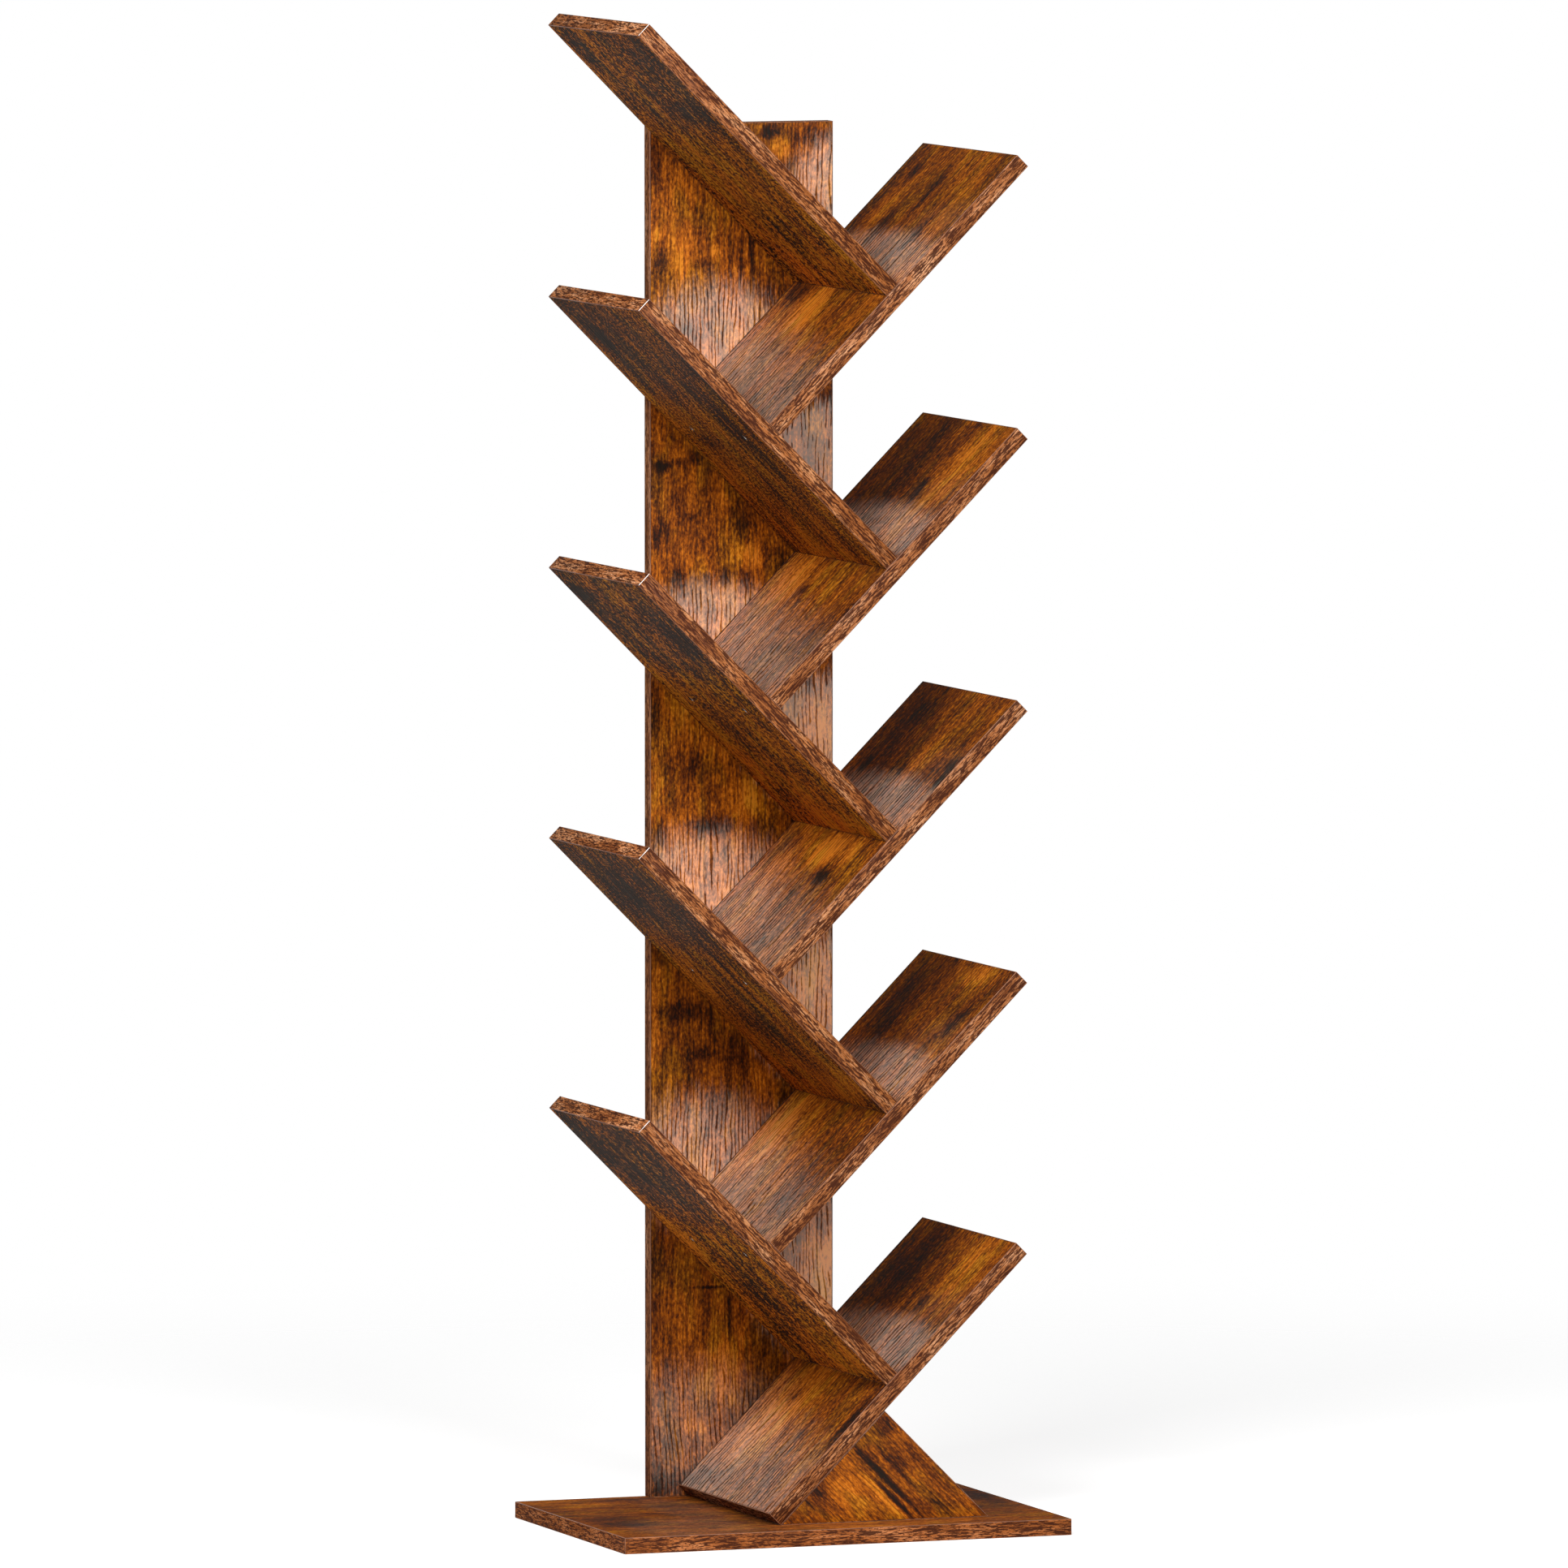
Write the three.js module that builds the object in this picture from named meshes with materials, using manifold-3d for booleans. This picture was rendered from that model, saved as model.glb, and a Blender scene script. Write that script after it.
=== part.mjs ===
// Tree-shaped bookshelf: ten slanted shelves climb an upright back panel on a flat base board.
// Each shelf stands square on the one below, so the shelves lie at 45 degrees and cross in a herringbone.
// Millimetres, +Z up, front towards -Y. The origin is on the floor under the middle of the base.
import * as THREE from 'three';
import { mergeVertices } from 'three/addons/utils/BufferGeometryUtils.js';
import Module from 'manifold-3d';

const wasm = await Module();
wasm.setup();

// Boards
const boardThickness = 16;
const easedEdge = 0.5;
const baseWidth = 460;
const baseFrontOverhang = 43.7;
const panelWidth = 190;
const shelfLength = 360;
const shelfDepth = 260;

// Herringbone: a pair of shelves, one to each side, repeats at every tier
const tierCount = 5;
const tierPitch = 264;
const seatGap = 0.3;

// Triangular gusset that props the lowest shelf
const gussetLeg = 152;
const gussetSetback = 1;

// Countersunk screws, all of one size
const screwLength = 38;
const shankDiameter = 4;
const headDiameter = 8;
const headRim = 0.4;
const tipLength = 6;
const socketAcrossFlats = 3;
const socketDepth = 1.6;
const headRecess = 0.5;
const screwClearance = 0.3;
const drillTipRoom = 1.5;
const cutOverrun = 2;

// Places of the screws on the boards
const seatScrewSetback = 54;
const firstRearScrewAlong = 35;
const secondRearScrewAlong = 150;
const panelAboveTopScrew = 45;
const panelFootScrewInset = 35;
const gussetScrewShares = [0.3, 0.7];

// Facets round a screw and its hole
const roundSegments = 12;
const socketSides = 6;

const halfBoard = boardThickness / 2;
const slant = Math.PI / 4;
const onSlant = Math.SQRT1_2;
const rightSide = 1;
const leftSide = -1;

// A shelf is placed by the upper corner of its lower end.
// The next shelf stands on it, with that corner at seatAlong.
const seatAlong = tierPitch * onSlant - seatGap;
const seatReach = tierPitch / 4 - seatGap * onSlant;
const lowestSeatHeight = boardThickness + seatGap + boardThickness * onSlant;
const leftSeatRise = (seatAlong + seatGap) * onSlant;

// The base carries the panel along its rear edge and reaches out a little in front of the shelves
const baseDepth = boardThickness + seatGap + shelfDepth + baseFrontOverhang;
const panelRearY = baseDepth / 2;
const panelFrontY = panelRearY - boardThickness;
const shelfRearY = panelFrontY - seatGap;
const shelfFrontY = shelfRearY - shelfDepth;

const shelfMaterial = new THREE.MeshStandardMaterial({ color: 0x8a4a20, roughness: 0.45, metalness: 0 });
const panelMaterial = new THREE.MeshStandardMaterial({ color: 0x9a5726, roughness: 0.45, metalness: 0 });
const baseMaterial = new THREE.MeshStandardMaterial({ color: 0x74401e, roughness: 0.5, metalness: 0 });
const screwMaterial = new THREE.MeshStandardMaterial({ color: 0x3b332c, roughness: 0.4, metalness: 1 });

// Solids for the cuts
function solidFrom(geometry) {
  const bare = geometry.clone();
  bare.deleteAttribute('normal');
  bare.deleteAttribute('uv');
  const merged = mergeVertices(bare);
  const vertProperties = merged.attributes.position.array;
  const triVerts = new Uint32Array(merged.index.array);
  return new wasm.Manifold(new wasm.Mesh({ numProp: 3, vertProperties, triVerts }));
}

function geometryFrom(solid) {
  const { vertProperties, triVerts } = solid.getMesh();
  const geometry = new THREE.BufferGeometry();
  geometry.setAttribute('position', new THREE.BufferAttribute(vertProperties, 3));
  geometry.setIndex(new THREE.BufferAttribute(triVerts, 1));
  geometry.computeVertexNormals();
  return geometry;
}

// A board is its outline, extruded through its thickness with both faces' rims eased
function boardGeometry(outline) {
  return new THREE.ExtrudeGeometry(outline, {
    depth: boardThickness - 2 * easedEdge,
    bevelThickness: easedEdge,
    bevelSize: easedEdge,
    bevelOffset: -easedEdge,
    bevelSegments: 1,
  }).translate(0, 0, easedEdge);
}

function rectangle(x, y, width, height) {
  const corners = [[x, y], [x + width, y], [x + width, y + height], [x, y + height]];
  return new THREE.Shape(corners.map(([cornerX, cornerY]) => new THREE.Vector2(cornerX, cornerY)));
}

// Base board, lying on the floor
function makeBase() {
  const outline = rectangle(-baseWidth / 2, -baseDepth / 2, baseWidth, baseDepth);
  const base = new THREE.Mesh(boardGeometry(outline), baseMaterial);
  base.name = 'base_board';
  return base;
}

// Back panel, standing on the rear of the base and reaching a little above the top shelf's screws
function makePanel(topScrewHeight) {
  const height = topScrewHeight + panelAboveTopScrew - boardThickness;
  const outline = rectangle(-panelWidth / 2, 0, panelWidth, height);
  const panel = new THREE.Mesh(boardGeometry(outline), panelMaterial);
  panel.name = 'back_panel';
  panel.rotation.x = Math.PI / 2;
  panel.position.set(0, panelRearY, boardThickness);
  return panel;
}

// Shelf in its own axes: x from the seat towards its side, y to the rear, z = 0 on the upper face
function makeShelf(side, tier) {
  const start = side === rightSide ? 0 : -shelfLength;
  const outline = rectangle(start, shelfFrontY, shelfLength, shelfDepth);
  const geometry = boardGeometry(outline).translate(0, 0, -boardThickness);
  const shelf = new THREE.Mesh(geometry, shelfMaterial);
  shelf.name = `${side === rightSide ? 'right' : 'left'}_shelf_${tier + 1}`;
  return shelf;
}

function shelfPlace(side, tier) {
  const rise = side === rightSide ? 0 : leftSeatRise;
  const place = new THREE.Group();
  place.position.set(-side * seatReach, 0, lowestSeatHeight + rise + tier * tierPitch);
  place.rotation.y = -side * slant;
  return place;
}

// Gusset: a right-angled triangle between the lowest shelf's underside and the base
function makeGusset() {
  const slope = gussetLeg * onSlant;
  const shelfMeetsBaseX = -seatReach + boardThickness * onSlant - seatGap;
  const startX = shelfMeetsBaseX + seatGap / onSlant;
  const outline = new THREE.Shape([
    new THREE.Vector2(startX, 0),
    new THREE.Vector2(startX + 2 * slope, 0),
    new THREE.Vector2(startX + slope, slope),
  ]);
  const gusset = new THREE.Mesh(boardGeometry(outline), shelfMaterial);
  gusset.name = 'front_gusset';
  gusset.rotation.x = Math.PI / 2;
  gusset.position.set(0, shelfFrontY + gussetSetback + boardThickness, boardThickness);
  return gusset;
}

// Screw in its own axes: head flat at z = 0, point down
const headHeight = headRim + (headDiameter - shankDiameter) / 2;

function revolve(profile) {
  const points = profile.map(([radius, height]) => new THREE.Vector2(radius, height));
  return new THREE.LatheGeometry(points, roundSegments).rotateX(Math.PI / 2);
}

function screwGeometry() {
  const blank = revolve([
    [0, -screwLength],
    [shankDiameter / 2, tipLength - screwLength],
    [shankDiameter / 2, -headHeight],
    [headDiameter / 2, -headRim],
    [headDiameter / 2, 0],
    [0, 0],
  ]);
  const socketRadius = socketAcrossFlats / Math.sqrt(3);
  const socket = new THREE.CylinderGeometry(socketRadius, socketRadius, 2 * socketDepth, socketSides);
  return geometryFrom(solidFrom(blank).subtract(solidFrom(socket.rotateX(Math.PI / 2))));
}

// Hole that takes a screw all the way: countersink, clearance bore and drilled end
function holeGeometry() {
  const headRadius = headDiameter / 2 + screwClearance;
  const boreRadius = shankDiameter / 2 + screwClearance;
  return revolve([
    [0, -screwLength - drillTipRoom],
    [boreRadius, -screwLength],
    [boreRadius, -headHeight],
    [headRadius, -headRim],
    [headRadius, headRecess + cutOverrun],
    [0, headRecess + cutOverrun],
  ]);
}

const screwShape = screwGeometry();
const holeShape = holeGeometry();
const joints = [];

// A screw joins the first board, under its head, to the second, round its point
function addScrew(name, parent, position, turn, boards) {
  const screw = new THREE.Mesh(screwShape, screwMaterial);
  screw.name = name;
  screw.position.copy(position);
  screw.rotation.x = turn;
  parent.add(screw);
  joints.push({ screw, boards });
}

const pointingUp = Math.PI;
const pointingForward = -Math.PI / 2;

// Up through a shelf into the lower end of the shelf that stands on it
function addSeatScrews(shelf, next) {
  const along = shelf.side * (seatAlong - halfBoard);
  const depths = [shelfFrontY + seatScrewSetback, shelfRearY - seatScrewSetback];
  depths.forEach((y, index) => {
    const position = new THREE.Vector3(along, y, headRecess - boardThickness);
    const name = `${next.board.name}_seat_screw_${index + 1}`;
    addScrew(name, shelf.place, position, pointingUp, [shelf.board, next.board]);
  });
}

// Forward through the back panel into the middle of the shelf's rear edge
function rearScrewPoints(place, side) {
  place.updateMatrixWorld(true);
  return [firstRearScrewAlong, secondRearScrewAlong].map((along) =>
    new THREE.Vector3(side * along, panelRearY - headRecess, -halfBoard).applyMatrix4(place.matrixWorld));
}

function addRearScrews(parent, shelf, panel) {
  shelf.rearPoints.forEach((point, index) => {
    const name = `${shelf.board.name}_rear_screw_${index + 1}`;
    addScrew(name, parent, point, pointingForward, [panel, shelf.board]);
  });
}

// Up through the base into a board that stands on it
function addFootScrews(parent, name, places, y, base, foot) {
  places.forEach((x, index) => {
    const position = new THREE.Vector3(x, y, headRecess);
    addScrew(`${name}_${index + 1}`, parent, position, pointingUp, [base, foot]);
  });
}

function gussetScrewPlaces(gusset) {
  gusset.geometry.computeBoundingBox();
  const { min, max } = gusset.geometry.boundingBox;
  return gussetScrewShares.map((share) => THREE.MathUtils.lerp(min.x, max.x, share));
}

// Holes are cut in the board's own axes, each where its screw lies
function drill(board, screws) {
  const toBoard = board.matrixWorld.clone().invert();
  let solid = solidFrom(board.geometry);
  for (const screw of screws) {
    const place = toBoard.clone().multiply(screw.matrixWorld);
    solid = solid.subtract(solidFrom(holeShape.clone().applyMatrix4(place)));
  }
  board.geometry = geometryFrom(solid);
}

// Assembly, from the floor up
const bookshelf = new THREE.Group();
const base = makeBase();
const gusset = makeGusset();

const shelves = [];
for (let tier = 0; tier < tierCount; tier += 1) {
  for (const side of [rightSide, leftSide]) {
    const place = shelfPlace(side, tier);
    const board = makeShelf(side, tier);
    place.add(board);
    bookshelf.add(place);
    shelves.push({ side, place, board, rearPoints: rearScrewPoints(place, side) });
  }
}

const rearScrewHeights = shelves.flatMap((shelf) => shelf.rearPoints.map((point) => point.z));
const panel = makePanel(Math.max(...rearScrewHeights));
bookshelf.add(base, panel, gusset);

shelves.forEach((shelf, index) => {
  addRearScrews(bookshelf, shelf, panel);
  if (index + 1 < shelves.length) addSeatScrews(shelf, shelves[index + 1]);
});

const panelScrewX = panelWidth / 2 - panelFootScrewInset;
const gussetMiddleY = shelfFrontY + gussetSetback + halfBoard;
addFootScrews(bookshelf, 'panel_foot_screw', [-panelScrewX, panelScrewX], panelRearY - halfBoard, base, panel);
addFootScrews(bookshelf, 'gusset_foot_screw', gussetScrewPlaces(gusset), gussetMiddleY, base, gusset);

// Every board is drilled for the screws that pass through it or end in it
bookshelf.updateMatrixWorld(true);
for (const board of [base, panel, gusset, ...shelves.map((shelf) => shelf.board)]) {
  const screws = joints.filter((joint) => joint.boards.includes(board)).map((joint) => joint.screw);
  drill(board, screws);
}

export default bookshelf;
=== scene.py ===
"""Tree-shaped bookshelf: finished boards with edge bands, screws, floor, soft light and the photograph's camera."""
import math

import bmesh
import bpy
from mathutils import Matrix, Vector


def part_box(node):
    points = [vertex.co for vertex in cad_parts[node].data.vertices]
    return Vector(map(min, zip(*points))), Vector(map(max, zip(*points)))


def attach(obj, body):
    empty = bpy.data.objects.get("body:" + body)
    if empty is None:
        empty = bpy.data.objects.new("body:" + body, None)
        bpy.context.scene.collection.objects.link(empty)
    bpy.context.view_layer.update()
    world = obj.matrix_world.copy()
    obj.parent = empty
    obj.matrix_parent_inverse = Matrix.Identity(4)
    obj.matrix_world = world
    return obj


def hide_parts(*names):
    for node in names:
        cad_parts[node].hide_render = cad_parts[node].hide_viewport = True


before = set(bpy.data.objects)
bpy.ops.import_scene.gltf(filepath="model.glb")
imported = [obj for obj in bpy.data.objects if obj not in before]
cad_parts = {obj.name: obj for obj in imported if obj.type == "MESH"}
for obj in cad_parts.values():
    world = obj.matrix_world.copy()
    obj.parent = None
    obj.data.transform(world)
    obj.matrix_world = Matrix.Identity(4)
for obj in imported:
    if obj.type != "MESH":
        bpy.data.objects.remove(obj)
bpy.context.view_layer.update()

MM = 0.001
SLANT = math.sqrt(0.5)
THICKNESS = 16 * MM
SHELF_LENGTH = 360 * MM
SHELF_DEPTH = 260 * MM
SHELF_FRONT = -116.3 * MM
# A shelf's lower corner: how far it lies past the middle, and how high in the first tier
SHELF_REACH = 65.79 * MM
FIRST_RIGHT_CORNER = 27.61 * MM
FIRST_LEFT_CORNER = 159.61 * MM
TIER_PITCH = 264 * MM
TIERS = 5
PANEL_WIDTH = 190 * MM
PANEL_FRONT = 144 * MM
PANEL_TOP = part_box("back_panel")[1].z
BASE_WIDTH = 460 * MM
BASE_DEPTH = 320 * MM
GUSSET_LEG = 152 * MM
BAND = 0.8 * MM
EDGE = 0.5 * MM
GLUE_LINE = 0.12 * MM
# Screws, from a shelf's lower end (along) and from its front (depths)
SEAT_ALONG = 178.38 * MM
SEAT_SCREW_DEPTHS = (54 * MM, 206 * MM)
REAR_SCREW_ALONGS = (35 * MM, 150 * MM)

# Board axes: X runs with the grain, Z looks out of the show face, which lies at Z = 0
RIGHT_AXES = Matrix(((SLANT, 0, -SLANT), (0, 1, 0), (SLANT, 0, SLANT)))
LEFT_AXES = Matrix(((-SLANT, 0, -SLANT), (0, 1, 0), (SLANT, 0, -SLANT)))
PANEL_AXES = Matrix(((0, -1, 0), (0, 0, -1), (1, 0, 0)))
BASE_AXES = Matrix.Identity(3)
GUSSET_AXES = Matrix(((SLANT, SLANT, 0), (0, 0, -1), (-SLANT, SLANT, 0)))

BOARD_SLOTS = range(6)
FACE_SLOT, EDGE_BAND_SLOT, TRIM_SLOT, GLUE_SLOT, END_BAND_SLOT, CORNER_SLOT = BOARD_SLOTS
# Slot 0 of a screw is its plating
SCREW_RIM_SLOT, SCREW_SOCKET_SLOT = 1, 2
# Faces that meet at less than this are shaded as one
BOARD_SMOOTHING, SCREW_SMOOTHING = math.radians(25), math.radians(40)


def shelf_axes(side):
    return RIGHT_AXES if side == "right" else LEFT_AXES


def upper_normal(side):
    return RIGHT_AXES.col[2].copy() if side == "right" else -LEFT_AXES.col[2]


def upper_corner(side, tier):
    """The front corner of a shelf's lower end, on its upper face."""
    rise = TIER_PITCH * (tier - 1)
    if side == "right":
        return Vector((-SHELF_REACH, SHELF_FRONT, FIRST_RIGHT_CORNER + rise))
    return Vector((SHELF_REACH, SHELF_FRONT, FIRST_LEFT_CORNER + rise))


def shelf_corner(side, tier):
    """The same corner on the show face: the upper face on the right, the underside on the left."""
    corner = upper_corner(side, tier)
    return corner if side == "right" else corner - upper_normal("left") * THICKNESS


def carrier_of(side, tier):
    """The shelf on which this one stands, or None for the lowest, which stands on the base."""
    if side == "left":
        return ("right", tier)
    return ("left", tier - 1) if tier > 1 else None


def all_shelves():
    """Side and tier of every shelf, from the lowest up."""
    return [(side, tier) for tier in range(1, TIERS + 1) for side in ("right", "left")]


# Node helpers

# Places of a Mix node's colour sockets, which share their names with its other sockets
MIX_FIRST, MIX_SECOND, MIX_RESULT = 6, 7, 2


class Sketch:
    """Adds shader nodes to a tree. Any input may be a number, a colour or another node's output."""

    def __init__(self, tree):
        self.tree = tree

    def add(self, kind, inputs=None, **settings):
        node = self.tree.nodes.new(kind)
        for name, value in settings.items():
            setattr(node, name, value)
        for name, value in (inputs or {}).items():
            self.feed(node.inputs[name], value)
        return node

    def feed(self, socket, value):
        if isinstance(value, bpy.types.NodeSocket):
            self.tree.links.new(value, socket)
        else:
            socket.default_value = value

    def math(self, operation, first, second=0.0, third=0.0):
        node = self.add("ShaderNodeMath", operation=operation)
        for socket, value in zip(node.inputs, (first, second, third)):
            self.feed(socket, value)
        return node.outputs[0]

    def total(self, start, *shares):
        """start plus each value times its share."""
        for value, share in shares:
            start = self.math("MULTIPLY_ADD", value, share, start)
        return start

    def vector(self, operation, first, second=(0, 0, 0)):
        node = self.add("ShaderNodeVectorMath", operation=operation)
        self.feed(node.inputs[0], first)
        self.feed(node.inputs[1], second)
        return node.outputs["Value"] if operation == "LENGTH" else node.outputs["Vector"]

    def noise(self, vector, size, detail=3.0, roughness=0.5, distortion=0.0):
        """Noise from 0 to 1 whose patches are about size mm along each axis."""
        inputs = {
            "Vector": self.vector("MULTIPLY", vector, tuple(1 / (length * MM) for length in size)),
            "Scale": 1.0,
            "Detail": detail,
            "Roughness": roughness,
            "Distortion": distortion,
        }
        return self.add("ShaderNodeTexNoise", inputs).outputs["Fac"]

    def swing(self, vector, size, detail=3.0, roughness=0.5, distortion=0.0):
        """The same noise, from about -0.5 to 0.5."""
        return self.math("SUBTRACT", self.noise(vector, size, detail, roughness, distortion), 0.5)

    def spread(self, value, low, high, to_low=0.0, to_high=1.0, smooth=True):
        """Maps low..high to to_low..to_high and holds it there outside."""
        limits = {"From Min": low, "From Max": high, "To Min": to_low, "To Max": to_high}
        kind = "SMOOTHSTEP" if smooth else "LINEAR"
        node = self.add("ShaderNodeMapRange", {"Value": value, **limits}, interpolation_type=kind)
        return node.outputs["Result"]

    def mix(self, share, first, second, blend="MIX"):
        node = self.add("ShaderNodeMix", data_type="RGBA", blend_type=blend)
        self.feed(node.inputs["Factor"], share)
        self.feed(node.inputs[MIX_FIRST], first)
        self.feed(node.inputs[MIX_SECOND], second)
        return node.outputs[MIX_RESULT]

    def ramp(self, value, stops):
        node = self.add("ShaderNodeValToRGB", {"Fac": value})
        elements = node.color_ramp.elements
        while len(elements) < len(stops):
            elements.new(0.5)
        for element, (place, colour) in zip(elements, stops):
            element.position = place
            element.color = (*colour, 1)
        return node.outputs["Color"]


def new_group(name, takes, gives):
    """A node group with named sockets; returns it, its sketch, its inputs and its outputs."""
    tree = bpy.data.node_groups.new(name, "ShaderNodeTree")
    for socket, kind, value in takes:
        made = tree.interface.new_socket(name=socket, in_out="INPUT", socket_type=kind)
        if value is not None:
            made.default_value = value
    for socket, kind in gives:
        tree.interface.new_socket(name=socket, in_out="OUTPUT", socket_type=kind)
    sketch = Sketch(tree)
    return tree, sketch, sketch.add("NodeGroupInput").outputs, sketch.add("NodeGroupOutput").inputs


def use_group(sketch, tree, inputs):
    node = sketch.add("ShaderNodeGroup", node_tree=tree)
    for name, value in inputs.items():
        sketch.feed(node.inputs[name], value)
    return node.outputs


def new_material(name):
    material = bpy.data.materials.new(name)
    material.use_nodes = True
    return material, Sketch(material.node_tree), material.node_tree.nodes["Principled BSDF"].inputs


def object_vector(sketch):
    return sketch.add("ShaderNodeTexCoord").outputs["Object"]


def board_vector(sketch, origin, axes):
    """Object coordinates turned into the board's own axes."""
    inputs = {"Vector": object_vector(sketch), "Location": origin, "Rotation": axes.to_euler("XYZ")}
    return sketch.add("ShaderNodeMapping", inputs, vector_type="TEXTURE").outputs["Vector"]


def bump(sketch, height, strength, distance):
    inputs = {"Height": height, "Strength": strength, "Distance": distance}
    return sketch.add("ShaderNodeBump", inputs).outputs["Normal"]


# Where the film starts to turn matt, by how far it faces away, and where it is
GLANCE_START, GLANCE_FULL = 0.35, 0.72
GLANCE_ROUGHNESS = 0.95


def satin(sketch, shader, roughness):
    """Satin film: the given roughness seen square on, close to matt at a glancing look."""
    facing = sketch.add("ShaderNodeLayerWeight").outputs["Facing"]
    glance = sketch.spread(facing, GLANCE_START, GLANCE_FULL)
    rest = sketch.math("SUBTRACT", GLANCE_ROUGHNESS, roughness)
    sketch.feed(shader["Roughness"], sketch.math("MULTIPLY_ADD", rest, glance, roughness))


# Print and finish of the boards

PORE_GAP = 3.7 * MM
WOOD_INPUTS = (
    ("Vector", "NodeSocketVector", None),
    ("Tone", "NodeSocketFloat", None),
    ("Push", "NodeSocketFloat", 0.0),
    ("Painted sheen", "NodeSocketFloat", 0.0),
    ("Blots", "NodeSocketFloat", 1.0),
    ("Pores", "NodeSocketFloat", 0.5),
    ("Grit", "NodeSocketFloat", 1.3),
    ("Contrast", "NodeSocketFloat", 1.0),
    ("Streaks", "NodeSocketFloat", 0.3),
    ("Fine", "NodeSocketVector", None),
)
WOOD_OUTPUTS = (
    ("Color", "NodeSocketColor"),
    ("Roughness", "NodeSocketFloat"),
    ("Height", "NodeSocketFloat"),
)
# The print's colours by tone, from black-brown to amber
TONE_TOP = 1.05
TONE_STOPS = (
    (0.00, (0.010, 0.004, 0.002)),
    (0.20, (0.036, 0.008, 0.002)),
    (0.40, (0.110, 0.023, 0.002)),
    (0.60, (0.245, 0.058, 0.003)),
    (0.80, (0.440, 0.112, 0.004)),
    (TONE_TOP, (0.720, 0.215, 0.014)),
)
GOLDEN_TINT = (0.92, 1.22, 1.0, 1)
PORE_COLOUR = (0.022, 0.007, 0.003, 1)
# Colour of the painted sheen, a pale highlight, and the palest that the painted sheen may make the print
PAINTED_SHEEN_COLOUR = (0.26, 0.23, 0.20, 1)
PALEST = (0.92, 0.88, 0.84)
# How far a board's seed moves it through the noises, in metres along each axis
SEED_STEPS = (1.37, 0.71, 0.53)
# Depths under the show face between which the painted sheen starts
PAINTED_SHEEN_DEPTHS = (-3 * MM, -1 * MM)
# How far before the joint its painted shadow line starts and is full, and how much it takes from the tone
JOINT_START, JOINT_FULL, JOINT_PUSH = 4 * MM, 1.5 * MM, -0.5
FILM_SPECULAR, BAND_SPECULAR, TRIM_SPECULAR = 0.11, 0.10, 0.25


def print_mark_group():
    """One patch of the print, combed out along the grain at its ends. Core is where it starts to fade, and
    Ragged is how torn its edge is."""
    takes = (
        ("Vector", "NodeSocketVector", None),
        ("Centre", "NodeSocketVector", None),
        ("Reach", "NodeSocketVector", None),
        ("Ragged", "NodeSocketFloat", None),
        ("Core", "NodeSocketFloat", None),
    )
    tree, sketch, take, give = new_group("Print mark", takes, [("Mask", "NodeSocketFloat")])
    away = sketch.vector("SUBTRACT", take["Vector"], take["Centre"])
    flat = sketch.vector("MULTIPLY", sketch.vector("DIVIDE", away, take["Reach"]), (1, 1, 0))
    far = sketch.vector("LENGTH", flat)
    coarse = sketch.swing(take["Vector"], (26, 10, 40), 4, 0.65)
    comb = sketch.swing(take["Vector"], (26, 2.4, 40), 2, 0.6)
    rough = sketch.total(coarse, (comb, 1.3))
    edge = sketch.math("MULTIPLY_ADD", rough, take["Ragged"], far)
    sketch.feed(give["Mask"], sketch.spread(edge, take["Core"], 1.25, 1, 0))
    return tree


def pore_line_group():
    """Fine broken lines along X, a few mm apart, as the press plate leaves them in the film."""
    takes = [("Vector", "NodeSocketVector", None)]
    tree, sketch, take, give = new_group("Pore lines", takes, [("Lines", "NodeSocketFloat")])
    across = sketch.add("ShaderNodeSeparateXYZ", {"Vector": take["Vector"]}).outputs["Y"]
    turns = sketch.math("DIVIDE", across, PORE_GAP)
    wander = sketch.swing(take["Vector"], (210, 36, 60), 1, 0.5)
    jitter = sketch.swing(take["Vector"], (24, 6, 30), 1, 0.5)
    phase = sketch.total(turns, (wander, 4.5), (jitter, 0.9))
    wave = sketch.math("SINE", sketch.math("MULTIPLY", phase, 2 * math.pi))
    broken = sketch.spread(sketch.noise(take["Vector"], (32, 4.5, 40), 2, 0.5), 0.36, 0.52)
    sketch.feed(give["Lines"], sketch.math("MULTIPLY", sketch.spread(wave, 0.15, 0.9), broken))
    return tree


def wood_details(sketch, take):
    """The noises that the print is made of. They follow the grain, which bends a little."""
    place = take["Vector"]
    drift = sketch.swing(place, (170, 60, 200), 2, 0.5)
    sideways = {"Y": sketch.math("MULTIPLY", drift, 14 * MM)}
    grain = sketch.vector("ADD", place, sketch.add("ShaderNodeCombineXYZ", sideways).outputs[0])
    fine = sketch.vector("MULTIPLY", grain, take["Fine"])
    comb = sketch.swing(fine, (28, 2.4, 30), 2, 0.5)
    blots = sketch.total(sketch.noise(grain, (62, 22, 60), 3, 0.55, 0.6), (comb, 0.40))
    golden = sketch.noise(place, (70, 26, 60), 3, 0.6, 0.4)
    return {
        "clouds": sketch.swing(place, (150, 52, 90), 3, 0.55, 0.3),
        "mottle": sketch.swing(grain, (30, 11, 40), 5, 0.65, 0.5),
        "streaks": sketch.swing(grain, (130, 11, 60), 3, 0.6, 0.3),
        "fibres": sketch.swing(fine, (40, 2.6, 40), 3, 0.6),
        "speckle": sketch.swing(fine, (4.4, 1.9, 8), 3, 0.7),
        "lines": use_group(sketch, PORE_LINES, {"Vector": fine})["Lines"],
        "blots": sketch.math("MULTIPLY", sketch.spread(blots, 0.58, 0.76), take["Blots"]),
        "golden": sketch.spread(golden, 0.46, 0.62, 0, 0.8),
    }


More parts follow.
